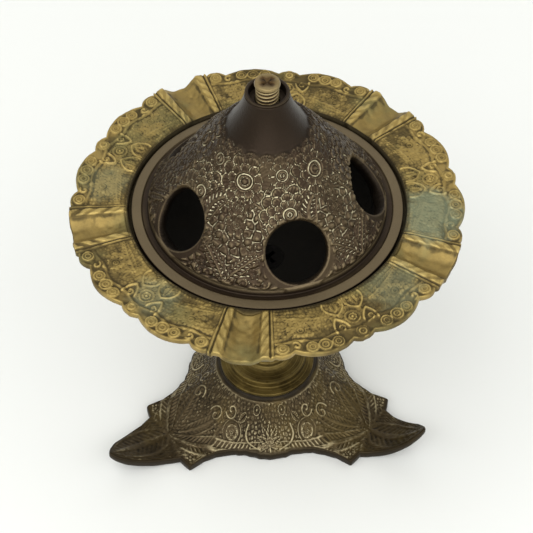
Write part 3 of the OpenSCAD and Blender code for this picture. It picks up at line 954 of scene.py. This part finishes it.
def make_screw():
    """The finial screw: a true helical thread, and a flat head with a cross recess."""
    head_h, head_r, pitch, crest, root, columns = 1.2, 3.5, 1.27, 3.17, 2.6, 96
    slot_span, slot_width, slot_depth = 3.4, 0.8, 1.0
    top, low = SCREW_HIGH[2], SCREW_LOW[2]
    under_head = top - head_h
    levels = np.linspace(low, under_head, 120)[:, None]
    a = np.linspace(0, 360, columns, endpoint=False)[None, :]
    wave = (levels / pitch - a / 360) % 1
    tooth = smooth(0.08, 0.42, wave) * smooth(0.92, 0.58, wave)
    shank = ring(root + (crest - root) * tooth, a + 0 * levels, levels)
    profile = rounded([(root, under_head), (head_r - 0.05, under_head), (head_r, under_head + 0.5),
                       (head_r - 0.25, top - 0.08), (0.05, top)], 0.25, 4)
    tip = turned([(0.05, low), (root * 0.8, low)], columns)
    rows = np.concatenate([tip, shank, turned(profile, columns)])
    marks = {mark: np.zeros(rows.shape[:2]) for mark in ("relief", "crest", "plain", "tarnish", "sooty")}
    marks["relief"][:] = 0.5
    threaded = slice(len(tip), len(tip) + len(shank))
    marks["relief"][threaded] = 0.55 * tooth
    marks["crest"][threaded] = 0.5 * tooth - 0.25
    piece = ring_mesh("cross_point_screw", rows, marks=marks)
    for turn in (45, 135):
        cut(piece, slot_tool(f"slot_tool_{turn}", slot_span, slot_width, top - slot_depth, top + 1, turn))
    return piece


# ---------------------------------------------------------------- materials


class Shader:
    """A node material built a line at a time."""

    def __init__(self, name):
        self.material = bpy.data.materials.new(name)
        self.material.use_nodes = True
        self.tree = self.material.node_tree
        self.tree.nodes.clear()
        self.output = self.tree.nodes.new("ShaderNodeOutputMaterial")
        self.surface = self.tree.nodes.new("ShaderNodeBsdfPrincipled")
        self.tree.links.new(self.surface.outputs[0], self.output.inputs["Surface"])

    def node(self, kind, outputs=0, settings=None, **inputs):
        made = self.tree.nodes.new("ShaderNode" + kind)
        for key, value in (settings or {}).items():
            setattr(made, key, value)
        for key, value in inputs.items():
            numbered = key[0] == "i" and key[1:].isdigit()
            self.put(made.inputs[int(key[1:]) if numbered else key.replace("_", " ")], value)
        return made.outputs[outputs]

    def put(self, socket, value):
        if isinstance(value, bpy.types.NodeSocket):
            self.tree.links.new(value, socket)
        else:
            socket.default_value = value

    def mark(self, name):
        return self.node("Attribute", "Fac", {"attribute_name": name, "attribute_type": "GEOMETRY"})

    def math(self, operation, a, b, clamp=False):
        return self.node("Math", 0, {"operation": operation, "use_clamp": clamp}, i0=a, i1=b)

    def plus(self, a, b, clamp=False):
        return self.math("ADD", a, b, clamp)

    def times(self, a, b):
        return self.math("MULTIPLY", a, b)

    def ease(self, value, low, high):
        eased = {"interpolation_type": "SMOOTHSTEP"}
        return self.node("MapRange", 0, eased, Value=value, From_Min=low, From_Max=high)

    def mix(self, share, a, b):
        made = self.tree.nodes.new("ShaderNodeMix")
        made.data_type = "RGBA"
        self.put(made.inputs["Factor"], share)
        self.put(made.inputs[6], a)
        self.put(made.inputs[7], b)
        return made.outputs[2]

    def noise(self, scale, detail=4.0, rough=0.55, distortion=0.0, at=None):
        at = at or self.node("TexCoord", "Object")
        settings = {"Scale": scale, "Detail": detail, "Roughness": rough, "Distortion": distortion}
        return self.node("TexNoise", "Fac", Vector=at, **settings)

    def bump(self, height, strength, distance):
        return self.node("Bump", 0, Height=height, Strength=strength, Distance=distance)

    def finish(self, **sockets):
        for key, value in sockets.items():
            self.put(self.surface.inputs[key.replace("_", " ")], value)
        return self.material


def colour(red, green, blue):
    """A colour given in display numbers from 0 to 255."""
    linear = [((c / 255 + 0.055) / 1.055) ** 2.4 if c > 10 else c / 3294.6 for c in (red, green, blue)]
    return (*linear, 1.0)


def aged_metal(name, tones, pit=0.8, wear_and_highlight=0.8, rough=0.45, metal=0.8, crevice=-0.06, patches=()):
    """Cast metal, from the marks on its mesh: body colour on the relief, recess colour below it, crests
    lighter, partly wear and partly painted highlight, and pit colour in the crevices, over broad mottling.
    The tarnish and soot marks darken it, partly real and partly painted shade. A patch is a place, a size and
    an amount of green patina."""
    s = Shader(name)
    relief, crest = s.mark("relief"), s.mark("crest")
    plain, tarnish, soot_and_shade_mask = s.mark("plain"), s.mark("tarnish"), s.mark("sooty")
    broad, mottled = s.noise(55.0, 4.0, 0.6), s.noise(260.0, 5.0, 0.6, 0.5)
    fine, dust = s.noise(1100.0, 5.0, 0.65), s.noise(3400.0, 2.0)
    swing = s.times(s.math("SUBTRACT", mottled, 0.5), 1.3)
    depth = s.plus(s.ease(relief, 0.05, 0.5), swing)
    depth = s.math("MAXIMUM", depth, s.plus(s.times(plain, 0.75), swing), clamp=True)
    tone = s.mix(depth, tones["recess"], tones["body"])
    tone = s.mix(s.times(s.ease(broad, 0.47, 0.66), 0.75), tone, tones["patina"])
    low = s.plus(crest, s.times(s.math("SUBTRACT", mottled, 0.5), 0.25))
    tone = s.mix(s.times(s.ease(low, crevice, crevice - 0.14), pit), tone, tones["pit"])
    # Crests take the worn colour: partly wear and partly painted highlight.
    high = s.plus(crest, s.times(s.math("SUBTRACT", fine, 0.5), 0.14))
    tone = s.mix(s.times(s.ease(high, 0.06, 0.28), wear_and_highlight), tone, tones["worn_and_highlight"])
    for where, size, amount in patches:
        at = s.node("TexCoord", "Object")
        off = s.node("VectorMath", "Value", {"operation": "DISTANCE"}, i0=at, i1=where)
        blot = s.plus(s.ease(off, size * 1.9, size * 0.2), s.times(swing, 0.9))
        tone = s.mix(s.times(s.ease(blot, 0.3, 0.95), amount), tone, tones["green"])
    # Tarnish colour where the meshes mark it: real tarnish in some places, and painted shade on the lid rim's
    # side and groove, the bowl's recess wall and the flange's inner edge.
    tone = s.mix(s.times(tarnish, 0.9), tone, tones["tarnish"])
    tone = s.mix(s.times(s.ease(dust, 0.55, 0.8), 0.35), tone, tones["recess"])
    # Near black where marked: soot inside the burner and in its holes, and painted shade in the screw's cross
    # recess.
    tone = s.mix(s.times(soot_and_shade_mask, 0.95), tone, colour(15, 13, 11))
    dull = s.plus(s.times(s.math("SUBTRACT", 1.0, depth), 0.2), s.times(mottled, 0.15))
    dull = s.plus(s.plus(dull, rough - 0.08), s.times(soot_and_shade_mask, 0.35), clamp=True)
    grain = s.plus(fine, s.plus(s.times(mottled, 0.8), s.times(dust, 0.3)))
    shine = s.times(s.math("SUBTRACT", 1.0, soot_and_shade_mask), metal)
    return s.finish(Base_Color=tone, Roughness=dull, Metallic=shine, Normal=s.bump(grain, 0.45, 0.00015))


def turned_metal(name, dark, body, light, rough=0.34):
    """Turned brass: fine lathe rings, tarnish in broad patches, and a few dark specks."""
    s = Shader(name)
    at = s.node("TexCoord", "Object")
    height = s.node("SeparateXYZ", 2, i0=at)
    flat = s.node("VectorMath", 0, {"operation": "MULTIPLY"}, i0=at, i1=(1, 1, 0))
    away = s.node("VectorMath", "Value", {"operation": "LENGTH"}, i0=flat)
    across = s.node("CombineXYZ", 0, i0=away, i1=height, i2=0.0)
    ring_lines = s.noise(2600.0, 2.0, at=across)
    broad, specks = s.noise(90.0, 4.0, 0.6, 0.4), s.noise(900.0, 4.0)
    tone = s.mix(s.ease(broad, 0.35, 0.65), dark, body)
    tone = s.mix(s.times(s.ease(ring_lines, 0.5, 0.75), 0.5), tone, light)
    tone = s.mix(s.times(s.ease(specks, 0.58, 0.7), 0.6), tone, dark)
    dull = s.plus(s.times(broad, 0.25), rough)
    grain = s.bump(s.plus(ring_lines, s.times(specks, 0.5)), 0.35, 0.0001)
    return s.finish(Base_Color=tone, Roughness=dull, Metallic=0.9, Normal=grain)


def plated_steel(name, steel, rust):
    """Dull dark steel with blotches of rust."""
    s = Shader(name)
    blotch, fine = s.noise(420.0, 6.0, 0.7, 0.8), s.noise(2200.0, 3.0)
    rusted = s.ease(blotch, 0.56, 0.68)
    tone = s.mix(rusted, s.mix(fine, steel, colour(32, 29, 26)), rust)
    dull = s.plus(s.times(rusted, 0.35), 0.42)
    shine = s.math("SUBTRACT", 0.9, s.times(rusted, 0.7))
    return s.finish(Base_Color=tone, Roughness=dull, Metallic=shine, Normal=s.bump(blotch, 0.5, 0.00015))


def floor_material():
    s = Shader("pale_backdrop")
    cloud = s.noise(3.0, 2.0)
    tone = s.mix(cloud, colour(229, 230, 227), colour(231, 232, 229))
    return s.finish(Base_Color=tone, Roughness=0.9)


def paint(piece, material):
    piece.data.materials.clear()
    piece.data.materials.append(material)


def lid_metal():
    tones = {
        "body": colour(56, 43, 29), "recess": colour(35, 27, 18), "worn_and_highlight": colour(140, 124, 94),
        "pit": colour(204, 194, 160), "patina": colour(70, 58, 39), "tarnish": colour(40, 30, 20),
    }
    return aged_metal("lid_brass", tones, pit=0.95, wear_and_highlight=0.45, rough=0.34, crevice=-0.17)


def bowl_metal():
    tones = {
        "body": colour(154, 131, 74), "recess": colour(96, 81, 46), "worn_and_highlight": colour(214, 188, 116),
        "pit": colour(66, 56, 32), "patina": colour(118, 110, 68), "tarnish": colour(48, 40, 24),
        "green": colour(130, 138, 112),
    }
    patches = (((0.046, -0.005, 0.09), 0.010, 0.75), ((0.034, -0.031, 0.09), 0.008, 0.4),
               ((-0.03, -0.035, 0.09), 0.007, 0.35), ((-0.046, 0.008, 0.09), 0.007, 0.3))
    return aged_metal("bowl_brass", tones, pit=0.75, wear_and_highlight=0.42, rough=0.46, metal=0.75, patches=patches)


def base_metal():
    tones = {
        "body": colour(72, 60, 39), "recess": colour(42, 34, 20), "worn_and_highlight": colour(188, 174, 136),
        "pit": colour(24, 19, 11), "patina": colour(84, 70, 38), "tarnish": colour(38, 30, 18),
    }
    return aged_metal("base_brass", tones, pit=0.75, wear_and_highlight=0.62, rough=0.36, crevice=-0.09)


def screw_metal():
    tones = {
        "body": colour(140, 122, 84), "recess": colour(78, 58, 32), "worn_and_highlight": colour(188, 172, 130),
        "pit": colour(38, 24, 14), "patina": colour(116, 78, 42), "tarnish": colour(60, 44, 26),
    }
    return aged_metal("screw_steel", tones, pit=0.85, wear_and_highlight=0.6, rough=0.38)


# ---------------------------------------------------------------- scene


def build_object():
    stem_metal = turned_metal("pedestal_brass", colour(64, 52, 24), colour(112, 95, 50), colour(156, 138, 86))
    for piece, material, node, body, slot in (
        (make_lid(), lid_metal(), "lid", "lid", "aged_brass_brown"),
        (make_screw(), screw_metal(), "finial_screw", "lid", "rusty_steel"),
        (make_bowl(), bowl_metal(), "bowl", "stand", "cast_brass_olive"),
        (make_stem(), stem_metal, "pedestal_stem", "stand", "turned_brass"),
        (make_base(), base_metal(), "tripod_base", "stand", "aged_brass_dark"),
    ):
        paint(piece, material)
        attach(piece, body)
        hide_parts(node)
    steel = plated_steel("fastener_steel", colour(20, 18, 16), colour(26, 20, 15))
    for node in ("tie_bolt", "base_washer", "base_nut"):
        paint(frame["nodes"][node], steel)


def build_stage():
    bpy.ops.mesh.primitive_plane_add(size=6, location=(0, 0, GROUND_Z * MM - 0.0002))
    floor = bpy.context.active_object
    floor.name = "backdrop_floor"
    paint(floor, floor_material())
    world = bpy.data.worlds.new("studio")
    bpy.context.scene.world = world
    world.use_nodes = True
    world.node_tree.nodes["Background"].inputs["Color"].default_value = colour(244, 245, 242)
    world.node_tree.nodes["Background"].inputs["Strength"].default_value = 0.75
    for name, place, size, power in (
        ("key_light", (-0.5, -0.35, 0.95), 1.1, 5.4), ("fill_light", (0.75, -0.4, 0.7), 1.1, 3.4),
        ("back_light", (0.1, 0.8, 0.8), 1.1, 1.2), ("front_light", (0.0, -1.0, 0.75), 1.3, 7.0),
    ):
        light = bpy.data.lights.new(name, "AREA")
        light.size = size
        light.energy = power
        lamp = bpy.data.objects.new(name, light)
        lamp.location = place
        lamp.rotation_euler = (Vector((0, 0, 0.06)) - Vector(place)).to_track_quat("-Z", "Y").to_euler()
        bpy.context.scene.collection.objects.link(lamp)


def build_camera():
    elevation = math.radians(49.2)
    distance = 489.1 * MM
    target = Vector((-0.2 * MM, 0, (RIM_Z - 28.5) * MM))
    camera = bpy.data.cameras.new("camera")
    camera.lens = 111.7
    camera.sensor_width = 36
    holder = bpy.data.objects.new("camera", camera)
    holder.location = target + Vector((0, -math.cos(elevation), math.sin(elevation))) * distance
    holder.rotation_euler = (target - holder.location).to_track_quat("-Z", "Y").to_euler()
    bpy.context.scene.collection.objects.link(holder)
    bpy.context.scene.camera = holder


build_camera()
build_object()
build_stage()
bpy.context.scene.view_settings.view_transform = "Standard"

bpy.context.view_layer.update()
